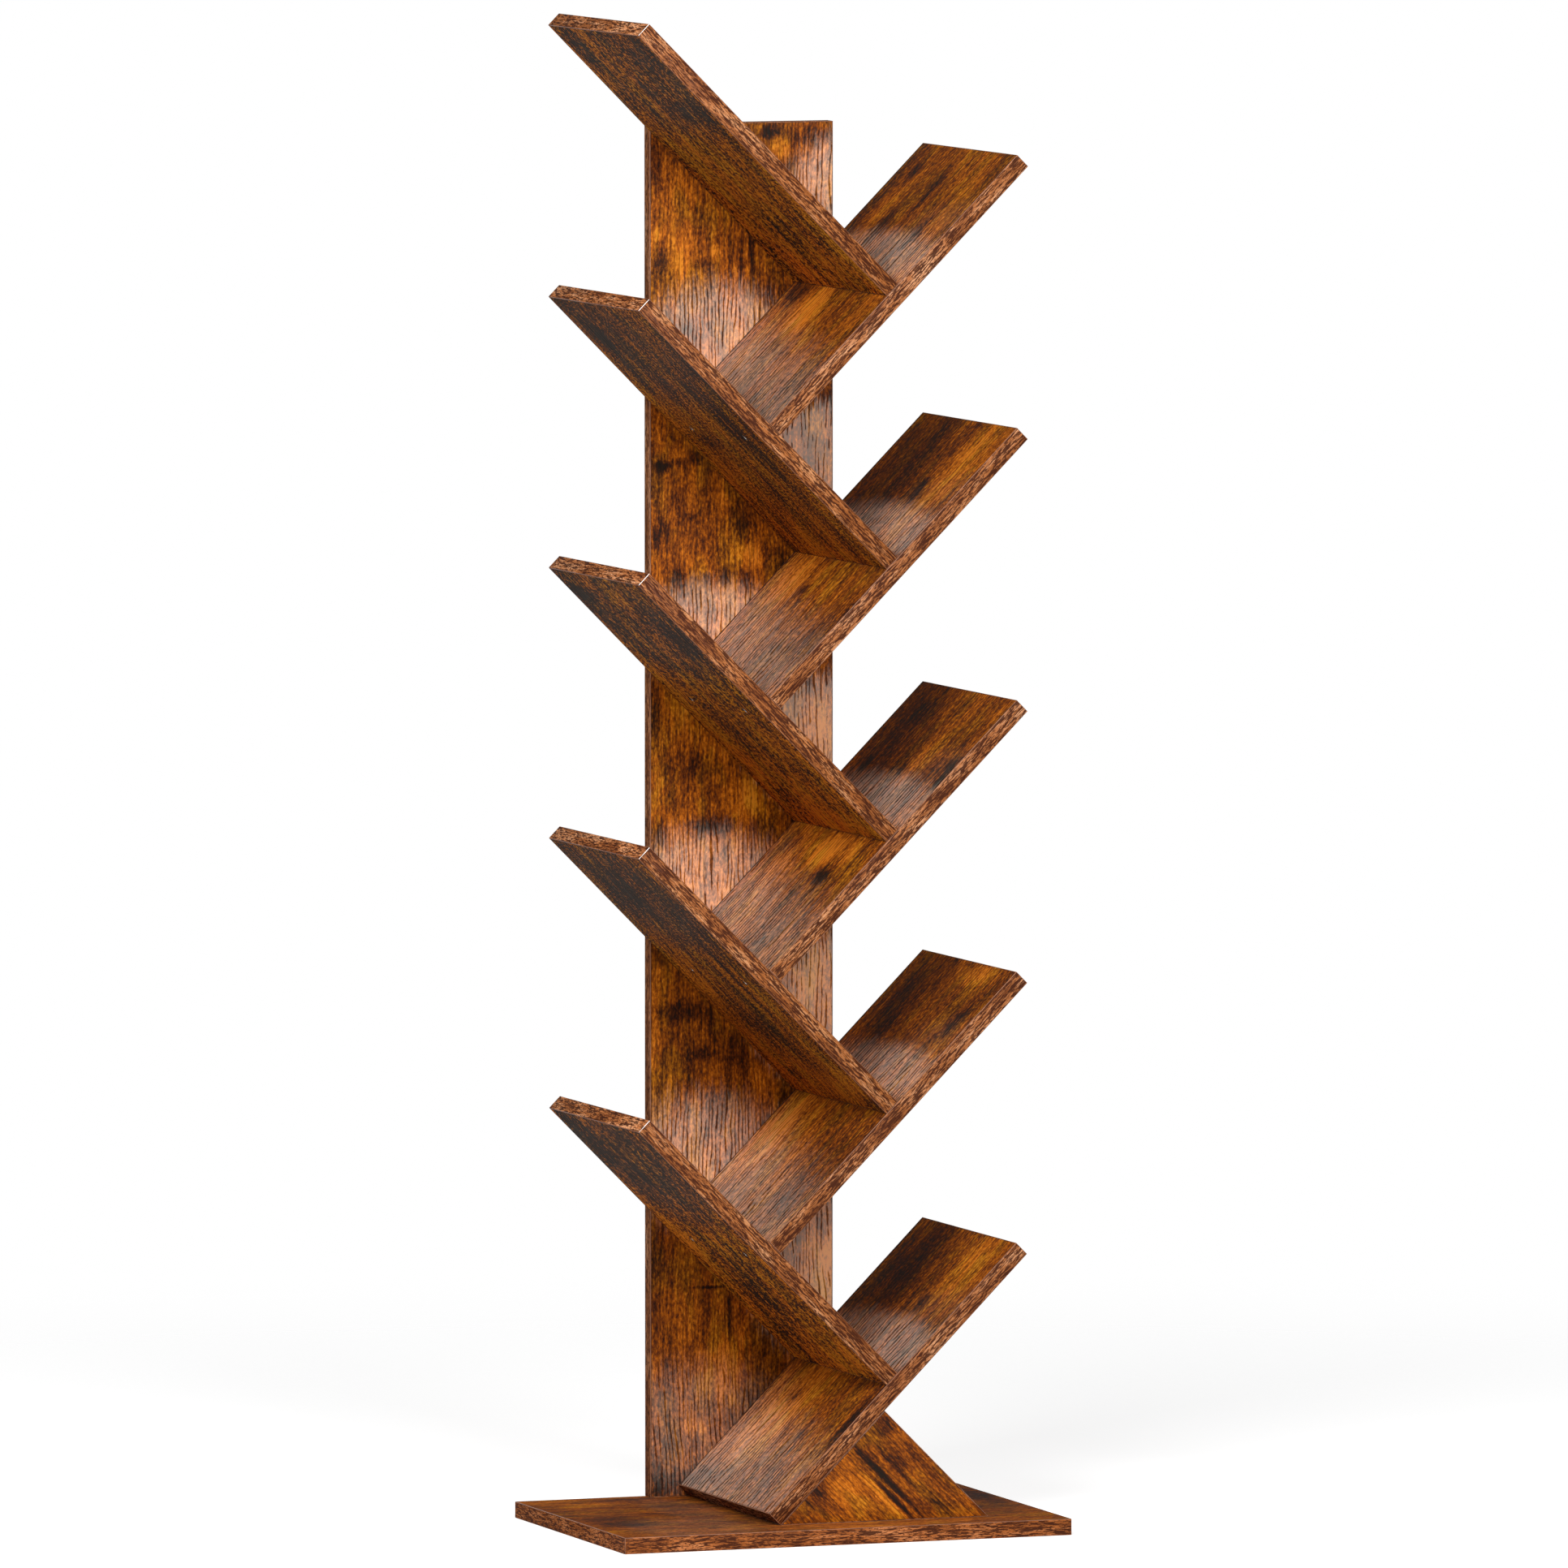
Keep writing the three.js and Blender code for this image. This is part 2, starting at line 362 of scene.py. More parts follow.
def wood_tone(sketch, take, detail):
    """The print's tone at each point, which picks its colour from the stops."""
    swings = sketch.total(0.0, (detail["clouds"], 0.80), (detail["mottle"], 0.75), (detail["fibres"], 0.65))
    return sketch.total(
        sketch.math("ADD", take["Tone"], take["Push"]),
        (swings, take["Contrast"]),
        (detail["streaks"], take["Streaks"]),
        (detail["speckle"], take["Grit"]),
        (detail["blots"], -0.30),
    )


def wood_colour(sketch, take, detail, tone):
    """The tone's colour, golden in places, with dark pores and a painted sheen, a pale painted highlight, between
    them.
    """
    stops = [(spot / TONE_TOP, shade) for spot, shade in TONE_STOPS]
    colour = sketch.ramp(sketch.math("DIVIDE", tone, TONE_TOP), stops)
    colour = sketch.mix(detail["golden"], colour, GOLDEN_TINT, "MULTIPLY")
    pores = sketch.math("MULTIPLY", detail["lines"], take["Pores"])
    colour = sketch.mix(pores, colour, PORE_COLOUR)
    # Painted sheen: a pale highlight added to the colour, broken by the pores
    sheen_strength = sketch.total(1.05, (detail["lines"], -1.15), (detail["speckle"], 1.3), (detail["fibres"], 1.0))
    painted_sheen_share = sketch.math("MULTIPLY", sketch.math("MAXIMUM", sheen_strength, 0.03), take["Painted sheen"])
    return sketch.vector("MINIMUM", sketch.mix(painted_sheen_share, colour, PAINTED_SHEEN_COLOUR, "ADD"), PALEST)


def wood_print_group():
    """The printed wood: patches from black-brown to amber, ragged blots, speckle, fibres and open pores
    along X. A painted sheen, a pale painted highlight, is laid over it and leaves the pores dark."""
    tree, sketch, take, give = new_group("Printed rustic wood", WOOD_INPUTS, WOOD_OUTPUTS)
    detail = wood_details(sketch, take)
    lines = detail["lines"]
    gloss = sketch.total(0.38, (detail["mottle"], 0.12), (lines, 0.30), (detail["blots"], 0.05))
    height = sketch.total(0.0, (lines, -1.0), (detail["fibres"], 0.6), (detail["speckle"], 0.4))
    sketch.feed(give["Color"], wood_colour(sketch, take, detail, wood_tone(sketch, take, detail)))
    sketch.feed(give["Roughness"], gloss)
    sketch.feed(give["Height"], height)
    return tree


def marks_total(sketch, place, marks, ragged=0.8, core=0.3):
    """Adds up marks given as (along, across, half length, half width, strength), in mm."""
    total = None
    for along, across, half_length, half_width, strength in marks:
        inputs = {
            "Vector": place,
            "Centre": (along * MM, across * MM, 0),
            "Reach": (half_length * MM, half_width * MM, 1),
            "Ragged": ragged,
            "Core": core,
        }
        mask = use_group(sketch, PRINT_MARK, inputs)["Mask"]
        total = sketch.math("MULTIPLY_ADD", mask, strength, total or 0.0)
    return total


def laminate(
    name, origin, axes, seed, tone, dark=(), light=(), wash=(), fine=(1, 1, 1), joint=None, **print_inputs
):
    """The printed film of one board. Fine scales the print's small detail along each axis, and joint is how
    far across the board another board meets it, where a painted shadow line runs. Sheen marks are painted sheen."""
    material, sketch, shader = new_material(name)
    place = board_vector(sketch, origin, axes)
    seeded = sketch.vector("ADD", place, tuple(seed * step for step in SEED_STEPS))
    inputs = {"Vector": seeded, "Tone": tone, "Fine": fine, **print_inputs}
    lit, shaded = (marks_total(sketch, place, marks) for marks in (light, dark))
    # Sheen marks are painted sheen, kept to the show face
    sheen_mask = marks_total(sketch, place, wash, ragged=0.42, core=0.55)
    spot = sketch.add("ShaderNodeSeparateXYZ", {"Vector": place}).outputs
    if lit or shaded:
        inputs["Push"] = sketch.math("SUBTRACT", lit or 0.0, shaded or 0.0)
    if sheen_mask:
        inputs["Painted sheen"] = sketch.math("MULTIPLY", sheen_mask, sketch.spread(spot["Z"], *PAINTED_SHEEN_DEPTHS))
    if joint:
        # A painted shadow line along the joint, which also takes the painted sheen away there
        line = sketch.spread(spot["Y"], joint - JOINT_START, joint - JOINT_FULL)
        inputs["Push"] = sketch.math("MULTIPLY_ADD", line, JOINT_PUSH, inputs["Push"])
        inputs["Painted sheen"] = sketch.math("MULTIPLY", inputs["Painted sheen"], sketch.math("SUBTRACT", 1.0, line))
    made = use_group(sketch, WOOD_PRINT, inputs)
    sketch.feed(shader["Base Color"], made["Color"])
    satin(sketch, shader, made["Roughness"])
    sketch.feed(shader["Normal"], bump(sketch, made["Height"], 0.35, 0.12 * MM))
    shader["Specular IOR Level"].default_value = FILM_SPECULAR
    return material


def edge_band(name, axes, pale=(0.600, 0.285, 0.140), middle=(0.365, 0.124, 0.037), lift=1.0):
    """The band glued round a board: orange-brown, with short dark dashes that run along each edge. A lift above 1
    gives a brighter copy, which is painted light.
    """
    material, sketch, shader = new_material(name)
    place = board_vector(sketch, (0, 0, 0), axes)
    dashes = sketch.spread(sketch.noise(place, (12.0, 12.0, 1.45), 3, 0.55), 0.50, 0.555)
    ticks = sketch.spread(sketch.noise(place, (5.0, 5.0, 0.95), 2, 0.6), 0.51, 0.575)
    runs = sketch.swing(place, (38, 38, 2.4), 3, 0.6)
    clouds = sketch.noise(place, (60, 60, 14), 3, 0.55)
    stops = ((0.25, (0.125, 0.032, 0.007)), (0.50, middle), (0.75, pale))
    lifted = [(spot, tuple(lift * part for part in colour)) for spot, colour in stops]
    base = sketch.ramp(sketch.total(clouds, (runs, 1.0)), lifted)
    dashed = sketch.mix(sketch.math("MULTIPLY", dashes, 0.92), base, (0.040, 0.008, 0.002, 1))
    ticked = sketch.mix(sketch.math("MULTIPLY", ticks, 0.86), dashed, (0.050, 0.011, 0.003, 1))
    sketch.feed(shader["Base Color"], ticked)
    satin(sketch, shader, sketch.math("MULTIPLY_ADD", dashes, 0.2, 0.42))
    depth = sketch.total(dashes, (ticks, 0.6))
    sketch.feed(shader["Normal"], bump(sketch, depth, 0.5, -0.12 * MM))
    shader["Specular IOR Level"].default_value = BAND_SPECULAR
    return material


def trimmed_edge(name, pale):
    """The broken edge of a band, smoother than its face."""
    material, sketch, shader = new_material(name)
    worn = sketch.noise(object_vector(sketch), (16, 16, 16), 4, 0.65)
    colour = sketch.ramp(worn, ((0.3, (0.17, 0.058, 0.022)), (0.7, pale)))
    sketch.feed(shader["Base Color"], colour)
    sketch.feed(shader["Roughness"], sketch.spread(worn, 0.3, 0.7, 0.4, 0.55))
    shader["Specular IOR Level"].default_value = TRIM_SPECULAR
    return material


def painted_corner_glint():
    """The corner where two bands meet, painted pale: a painted highlight along the edge."""
    material, sketch, shader = new_material("painted_glint_band_corner")
    # The noise varies the painted highlight along the corner
    worn = sketch.noise(object_vector(sketch), (7, 7, 7), 3, 0.6)
    colour = sketch.ramp(worn, ((0.25, (0.46, 0.34, 0.28)), (0.5, (0.94, 0.88, 0.84))))
    sketch.feed(shader["Base Color"], colour)
    sketch.feed(shader["Roughness"], sketch.spread(worn, 0.3, 0.7, 0.3, 0.45))
    return material


def raw_core():
    """Pressed wood chips, seen where a screw hole cuts through the film."""
    material, sketch, shader = new_material("pressed_chip_core")
    inputs = {"Vector": object_vector(sketch), "Scale": 900.0}
    chips = sketch.add("ShaderNodeTexVoronoi", inputs).outputs["Distance"]
    colour = sketch.ramp(chips, ((0.1, (0.16, 0.09, 0.045)), (0.8, (0.42, 0.28, 0.16))))
    sketch.feed(shader["Base Color"], colour)
    shader["Roughness"].default_value = 0.85
    sketch.feed(shader["Normal"], bump(sketch, chips, 0.5, 0.3 * MM))
    return material


def glue_line():
    """The dark hairline between an edge band and the printed film."""
    material, sketch, shader = new_material("glue_hairline")
    dust = sketch.noise(object_vector(sketch), (3, 3, 3), 2, 0.5)
    colour = sketch.ramp(dust, ((0.3, (0.012, 0.005, 0.003)), (0.8, (0.07, 0.026, 0.012))))
    sketch.feed(shader["Base Color"], colour)
    shader["Roughness"].default_value = 0.7
    return material


def bronze_plated(name, base, rough):
    """Dark bronze plating, rubbed brighter in small patches."""
    material, sketch, shader = new_material(name)
    worn = sketch.noise(object_vector(sketch), (1.4, 1.4, 1.4), 3, 0.6)
    dark = tuple(0.6 * part for part in base)
    sketch.feed(shader["Base Color"], sketch.ramp(worn, ((0.3, dark), (0.7, base))))
    sketch.feed(shader["Roughness"], sketch.spread(worn, 0.3, 0.7, rough, rough + 0.15))
    shader["Metallic"].default_value = 1.0
    return material


def band_set(band, trim=None, ends=None, corner=None):
    """The materials of a board's slots after its film: band, broken edge, glue line, end band and corner."""
    trim = trim or TRIM
    return (band, trim, GLUE, ends or band, corner or trim)


PORE_LINES = pore_line_group()
PRINT_MARK = print_mark_group()
WOOD_PRINT = wood_print_group()
CORE = raw_core()
TRIM = trimmed_edge("trimmed_band_edge", (0.40, 0.18, 0.10))
# A darker copy of the trimmed edge for the left shelves: painted shade
SHADED_LEFT_TRIM = trimmed_edge("shaded_left_band_edge", (0.24, 0.085, 0.038))
# Painted highlight for the left shelves' front corners at the upper end
CORNER_GLINT = painted_corner_glint()
GLUE = glue_line()
BANDS = {
    "right": band_set(
        edge_band("edge_band_right_shelves", RIGHT_AXES),
        # A brighter copy of the band for the upper ends: painted light
        ends=edge_band("lit_edge_band_right_ends", RIGHT_AXES, lift=1.6),
    ),
    "left": band_set(
        edge_band("edge_band_left_shelves", LEFT_AXES, (0.545, 0.245, 0.106), (0.335, 0.107, 0.027)),
        trim=SHADED_LEFT_TRIM,
        # A brighter copy of the band for the upper ends: painted light
        ends=edge_band("lit_edge_band_left_ends", LEFT_AXES, lift=1.6),
        corner=CORNER_GLINT,
    ),
    "base": band_set(edge_band("edge_band_base", BASE_AXES, (0.55, 0.200, 0.070), (0.345, 0.098, 0.020))),
    "panel": band_set(edge_band("edge_band_panel", PANEL_AXES)),
    "gusset": band_set(edge_band("edge_band_gusset", GUSSET_AXES)),
}
SCREW_PLATING = bronze_plated("bronze_plating", (0.17, 0.13, 0.10), 0.35)
SCREW_RIM = bronze_plated("rubbed_socket_rim", (0.95, 0.92, 0.88), 0.18)
SCREW_SOCKET = bronze_plated("socket_wall", (0.08, 0.06, 0.05), 0.4)


# Shaping


def start_shape():
    """Object mode, with nothing selected."""
    if bpy.context.mode != "OBJECT":
        bpy.ops.object.mode_set(mode="OBJECT")
    bpy.ops.object.select_all(action="DESELECT")


def work_on(piece):
    """Makes a piece the only selected and active object."""
    start_shape()
    piece.select_set(True)
    bpy.context.view_layer.objects.active = piece


def pick_faces(piece, wanted):
    """In edit mode, selects the faces for which wanted(centre, normal) is true."""
    bpy.ops.mesh.select_mode(type="FACE")
    bpy.ops.mesh.select_all(action="DESELECT")
    mesh = bmesh.from_edit_mesh(piece.data)
    for face in mesh.faces:
        face.select_set(wanted(face.calc_center_median(), face.normal))
    mesh.select_flush_mode()
    bmesh.update_edit_mesh(piece.data)


def lay_material(piece, slot):
    """In edit mode, gives the selected faces the piece's material number slot."""
    piece.active_material_index = slot
    bpy.ops.object.material_slot_assign()


def copy_piece(piece, name, turn):
    """A copy with its own mesh, moved by the matrix turn."""
    copy = piece.copy()
    copy.data = piece.data.copy()
    copy.name = copy.data.name = name
    bpy.context.scene.collection.objects.link(copy)
    copy.data.transform(turn)
    return copy


def join_into(first, others):
    """Joins the other pieces into the first."""
    start_shape()
    for piece in (first, *others):
        piece.select_set(True)
    bpy.context.view_layer.objects.active = first
    if others:
        bpy.ops.object.join()


def in_place(origin, axes):
    """The matrix from board axes to where the board stands."""
    return Matrix.Translation(origin) @ axes.to_4x4()


def band_and_break_edges(piece):
    """In edit mode on a sharp solid whose printed faces look along Z: breaks every edge, then marks out the
    glue line round each printed field, the field itself, the upper end's band and its front corner."""
    bpy.ops.mesh.select_mode(type="EDGE")
    bpy.ops.mesh.select_all(action="SELECT")
    lay_material(piece, EDGE_BAND_SLOT)
    bpy.ops.mesh.bevel(
        offset=EDGE, offset_type="OFFSET", segments=2, profile=0.5, affect="EDGES", material=TRIM_SLOT
    )
    pick_faces(piece, lambda centre, normal: abs(normal.z) > 0.999)
    bpy.ops.mesh.inset(thickness=BAND - EDGE, depth=0, use_individual=True)
    lay_material(piece, GLUE_SLOT)
    bpy.ops.mesh.inset(thickness=GLUE_LINE, depth=-GLUE_LINE, use_individual=True)
    bpy.ops.mesh.inset(thickness=GLUE_LINE, depth=GLUE_LINE, use_individual=True)
    lay_material(piece, FACE_SLOT)
    pick_faces(piece, lambda centre, normal: normal.x > 0.999)
    lay_material(piece, END_BAND_SLOT)
    pick_faces(piece, lambda centre, normal: normal.x > 0.3 and normal.y < -0.3 and abs(normal.z) < 0.1)
    lay_material(piece, CORNER_SLOT)
    bpy.ops.object.mode_set(mode="OBJECT")


def cube_between(low, high):
    """A cube primitive at its size and place, in edit mode."""
    start_shape()
    bpy.ops.mesh.primitive_cube_add(size=1, location=(low + high) / 2, scale=high - low)
    piece = bpy.context.object
    bpy.ops.object.transform_apply(location=True, rotation=False, scale=True)
    for _ in BOARD_SLOTS:
        piece.data.materials.append(None)
    bpy.ops.object.mode_set(mode="EDIT")
    return piece


def banded_board(length, depth):
    """A rectangular board in board axes, its show face at Z = 0."""
    piece = cube_between(Vector((0, 0, -THICKNESS)), Vector((length, depth, 0)))
    band_and_break_edges(piece)
    return piece


def banded_gusset():
    """The triangular prop in its own axes: the right angle at the origin, legs along X and down Y."""
    piece = cube_between(Vector((0, -GUSSET_LEG, -THICKNESS)), Vector((GUSSET_LEG, 0, 0)))
    bpy.ops.mesh.select_all(action="SELECT")
    cut = dict(plane_co=(GUSSET_LEG, 0, 0), plane_no=(1, -1, 0))
    bpy.ops.mesh.bisect(**cut, clear_outer=True, use_fill=True)
    band_and_break_edges(piece)
    return piece


def finish_piece(piece, name):
    """Smooths a board, hangs it on the root body and hides the node it replaces."""
    work_on(piece)
    bpy.ops.object.shade_smooth_by_angle(angle=BOARD_SMOOTHING)
    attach(piece, "root")
    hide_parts(name)


# Screws

# Lengths in mm; places along the screw are measured from the mouth of its hole
HEAD_TOP, RIM_END, CONE_END, POINT_START, POINT_END = 0.5, 0.9, 2.9, 32.5, 38.5
HEAD_RADIUS, SHANK_RADIUS, TIP_SHARE = 4.0, 2.0, 0.08
SOCKET_APOTHEM, SOCKET_DEPTH, SOCKET_TAPER = 1.5, 1.6, 0.96
SOCKET_CIRCLE, SOCKET_RIM = 2.1, 0.2
SOCKET_CONE_WIDTH, SOCKET_CONE_DEPTH = 0.5, 0.35
THREAD_RIDGE, THREAD_START, THREAD_LENGTH = 0.42, 9, 23
THREAD_TURNS, STEPS_PER_TURN = 14, 14
# Place and radius; the cutter starts a little outside the mouth
HOLE_PROFILE = ((0.0, 4.3), (0.9, 4.3), (3.05, 2.15), (40.0, 2.15))
HOLE_LEAD = 1.0
FORWARD, UP = Vector((0, -1, 0)), Vector((0, 0, 1))


def lies_at(centre, level):
    """Whether a face's centre lies at a place along the screw."""
    return abs(centre.z - level * MM) < 1e-6


def extrude_cap(piece, level, rise, widen):
    """In edit mode, extrudes the flat cap at level along Z by rise and scales it by widen; lengths in mm."""
    pick_faces(piece, lambda centre, normal: abs(normal.z) > 0.9 and lies_at(centre, level))
    bpy.ops.mesh.extrude_region_move(TRANSFORM_OT_translate={"value": (0, 0, rise * MM)})
    bpy.ops.transform.resize(value=(widen, widen, 1), center_override=(0, 0, (level + rise) * MM))


def to_hexagon(point):
    """Moves a point of a round socket's rim onto the hexagon round it."""
    angle = math.atan2(point.y, point.x)
    radius = SOCKET_APOTHEM * MM / math.cos((angle + math.pi / 6) % (math.pi / 3) - math.pi / 6)
    return Vector((radius * math.cos(angle), radius * math.sin(angle), point.z))


def sink_socket(piece):
    """In edit mode, sinks the hexagon socket into the head."""
    pick_faces(piece, lambda centre, normal: normal.z < -0.9 and lies_at(centre, HEAD_TOP))
    bpy.ops.mesh.inset(thickness=(HEAD_RADIUS - SOCKET_CIRCLE) * MM, depth=0)
    mesh = bmesh.from_edit_mesh(piece.data)
    for vertex in mesh.verts:
        if vertex.select:
            vertex.co = to_hexagon(vertex.co)
            vertex.co.z = HEAD_TOP * MM
    bmesh.update_edit_mesh(piece.data)
    lay_material(piece, SCREW_RIM_SLOT)
    bpy.ops.mesh.inset(thickness=SOCKET_RIM * MM, depth=-SOCKET_RIM * MM)
    lay_material(piece, SCREW_SOCKET_SLOT)
    bpy.ops.mesh.extrude_region_move(TRANSFORM_OT_translate={"value": (0, 0, SOCKET_DEPTH * MM)})
    floor = (0, 0, (HEAD_TOP + SOCKET_DEPTH) * MM)
    bpy.ops.transform.resize(value=(SOCKET_TAPER, SOCKET_TAPER, 1), center_override=floor)
    bpy.ops.mesh.inset(thickness=SOCKET_CONE_WIDTH * MM, depth=-SOCKET_CONE_DEPTH * MM)


def screw_thread():
    """A coarse wood-screw thread: a small ridge wound round the shank."""
    start_shape()
    bpy.ops.mesh.primitive_circle_add(
        vertices=3,
        radius=THREAD_RIDGE * MM,
        fill_type="NOTHING",
        location=(SHANK_RADIUS * MM, 0, THREAD_START * MM),
        rotation=(math.pi / 2, 0, 0),
    )
    thread = bpy.context.object
    bpy.ops.object.transform_apply(location=True, rotation=True, scale=True)
    wind = thread.modifiers.new("wind", "SCREW")
    wind.axis = "Z"
    wind.angle = 2 * math.pi * THREAD_TURNS
    wind.screw_offset = THREAD_LENGTH * MM
    wind.steps = wind.render_steps = STEPS_PER_TURN * THREAD_TURNS
    wind.use_merge_vertices = True
    bpy.ops.object.modifier_apply(modifier=wind.name)
    bpy.ops.object.mode_set(mode="EDIT")
    bpy.ops.mesh.select_all(action="SELECT")
    bpy.ops.mesh.fill_holes(sides=4)
    bpy.ops.mesh.normals_make_consistent(inside=False)
    bpy.ops.object.mode_set(mode="OBJECT")
    return thread


def countersunk_screw():
    """One screw, pointing along Z from the mouth of its hole at the origin."""
    start_shape()
    depth = RIM_END - HEAD_TOP
    middle = (0, 0, (HEAD_TOP + depth / 2) * MM)
    bpy.ops.mesh.primitive_cylinder_add(
        vertices=48, radius=HEAD_RADIUS * MM, depth=depth * MM, location=middle
    )
    piece = bpy.context.object
    bpy.ops.object.transform_apply(location=True, rotation=False, scale=False)
    for material in (SCREW_PLATING, SCREW_RIM, SCREW_SOCKET):
        piece.data.materials.append(material)
    bpy.ops.object.mode_set(mode="EDIT")
    extrude_cap(piece, RIM_END, CONE_END - RIM_END, SHANK_RADIUS / HEAD_RADIUS)
    extrude_cap(piece, CONE_END, POINT_START - CONE_END, 1)
    extrude_cap(piece, POINT_START, POINT_END - POINT_START, TIP_SHARE)
    sink_socket(piece)
    bpy.ops.object.mode_set(mode="OBJECT")
    thread = screw_thread()
    thread.data.materials.append(SCREW_PLATING)
    join_into(piece, [thread])
    work_on(piece)
    bpy.ops.object.shade_smooth_by_angle(angle=SCREW_SMOOTHING)
    return piece


def hole_cutter():
    """The space of a screw hole, pointing along Z from its mouth at the origin."""
    start_shape()
    mouth_radius = HOLE_PROFILE[0][1]
    bpy.ops.mesh.primitive_cylinder_add(
        vertices=32, radius=mouth_radius * MM, depth=HOLE_LEAD * MM, location=(0, 0, -HOLE_LEAD / 2 * MM)
    )
    piece = bpy.context.object
    bpy.ops.object.transform_apply(location=True, rotation=False, scale=False)
    piece.data.materials.append(CORE)
    bpy.ops.object.mode_set(mode="EDIT")
    for (low, wide), (high, narrow) in zip(HOLE_PROFILE, HOLE_PROFILE[1:]):
        extrude_cap(piece, low, high - low, narrow / wide)
    bpy.ops.object.mode_set(mode="OBJECT")
    return piece


def rear_screws(side, tier):
    """The screws that come through the back panel into a shelf's rear edge."""
    shelf = f"{side}_shelf_{tier}"
    middle = upper_corner(side, tier) - upper_normal(side) * THICKNESS / 2
    screws = []
    for number, along in enumerate(REAR_SCREW_ALONGS, 1):
        spot = middle + shelf_axes(side).col[0] * along
        mouth = Vector((spot.x, PANEL_FRONT + THICKNESS, spot.z))
        screws.append((f"{shelf}_rear_screw_{number}", mouth, FORWARD, ("back_panel", shelf)))
    return screws


def seat_screws(side, tier):
    """The screws that come up through the shelf below into a shelf's lower end."""
    carrier = carrier_of(side, tier)
    if carrier is None:
        return []
    shelf, below = f"{side}_shelf_{tier}", f"{carrier[0]}_shelf_{carrier[1]}"
    up = upper_normal(carrier[0])
    start = upper_corner(*carrier) - up * THICKNESS + shelf_axes(carrier[0]).col[0] * SEAT_ALONG
    screws = []
    for number, depth in enumerate(SEAT_SCREW_DEPTHS, 1):
        mouth = Vector((start.x, SHELF_FRONT + depth, start.z))
        screws.append((f"{shelf}_seat_screw_{number}", mouth, up, (below, shelf)))
    return screws


def foot_screws(stem, held):
    """The screws that come up through the base into an upright board."""
    screws = []
    for number in (1, 2):
        low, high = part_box(f"{stem}_{number}")
        mouth = Vector(((low.x + high.x) / 2, (low.y + high.y) / 2, 0))
        screws.append((f"{stem}_{number}", mouth, UP, ("base_board", held)))
    return screws


def all_screws():
    """Name, mouth, direction and the two boards of every screw."""
    screws = []
    for side, tier in all_shelves():
        screws += rear_screws(side, tier) + seat_screws(side, tier)
    screws += foot_screws("panel_foot_screw", "back_panel")
    return screws + foot_screws("gusset_foot_screw", "front_gusset")


def along_screw(mouth, direction):
    """The matrix that lays a screw or its hole at its mouth, in its direction."""
    return in_place(mouth, direction.to_track_quat("Z", "Y").to_matrix())


# Boards in place


def drill(piece, name):
    """Cuts every screw hole that passes through the named board."""
    start_shape()
    first, *others = [
        copy_piece(HOLE, "screw_hole", along_screw(mouth, direction))
        for _, mouth, direction, boards in SCREWS
        if name in boards
    ]
    join_into(first, others)
    work_on(piece)
    cut = piece.modifiers.new("screw_holes", "BOOLEAN")
    cut.operation = "DIFFERENCE"
    cut.solver = "EXACT"
    cut.object = first
    bpy.ops.object.modifier_apply(modifier=cut.name)
    bpy.data.objects.remove(first)


def fit_board(shape, name, origin, axes, film, bands):
    """A copy of a shaped board, given its film and bands, set in place and drilled."""
    piece = copy_piece(shape, f"{name}_board", in_place(origin, axes))
    for number, material in zip(BOARD_SLOTS, (film, *bands)):
        piece.material_slots[number].material = material
    drill(piece, name)
    finish_piece(piece, name)


SCREWS = all_screws()
HOLE = hole_cutter()
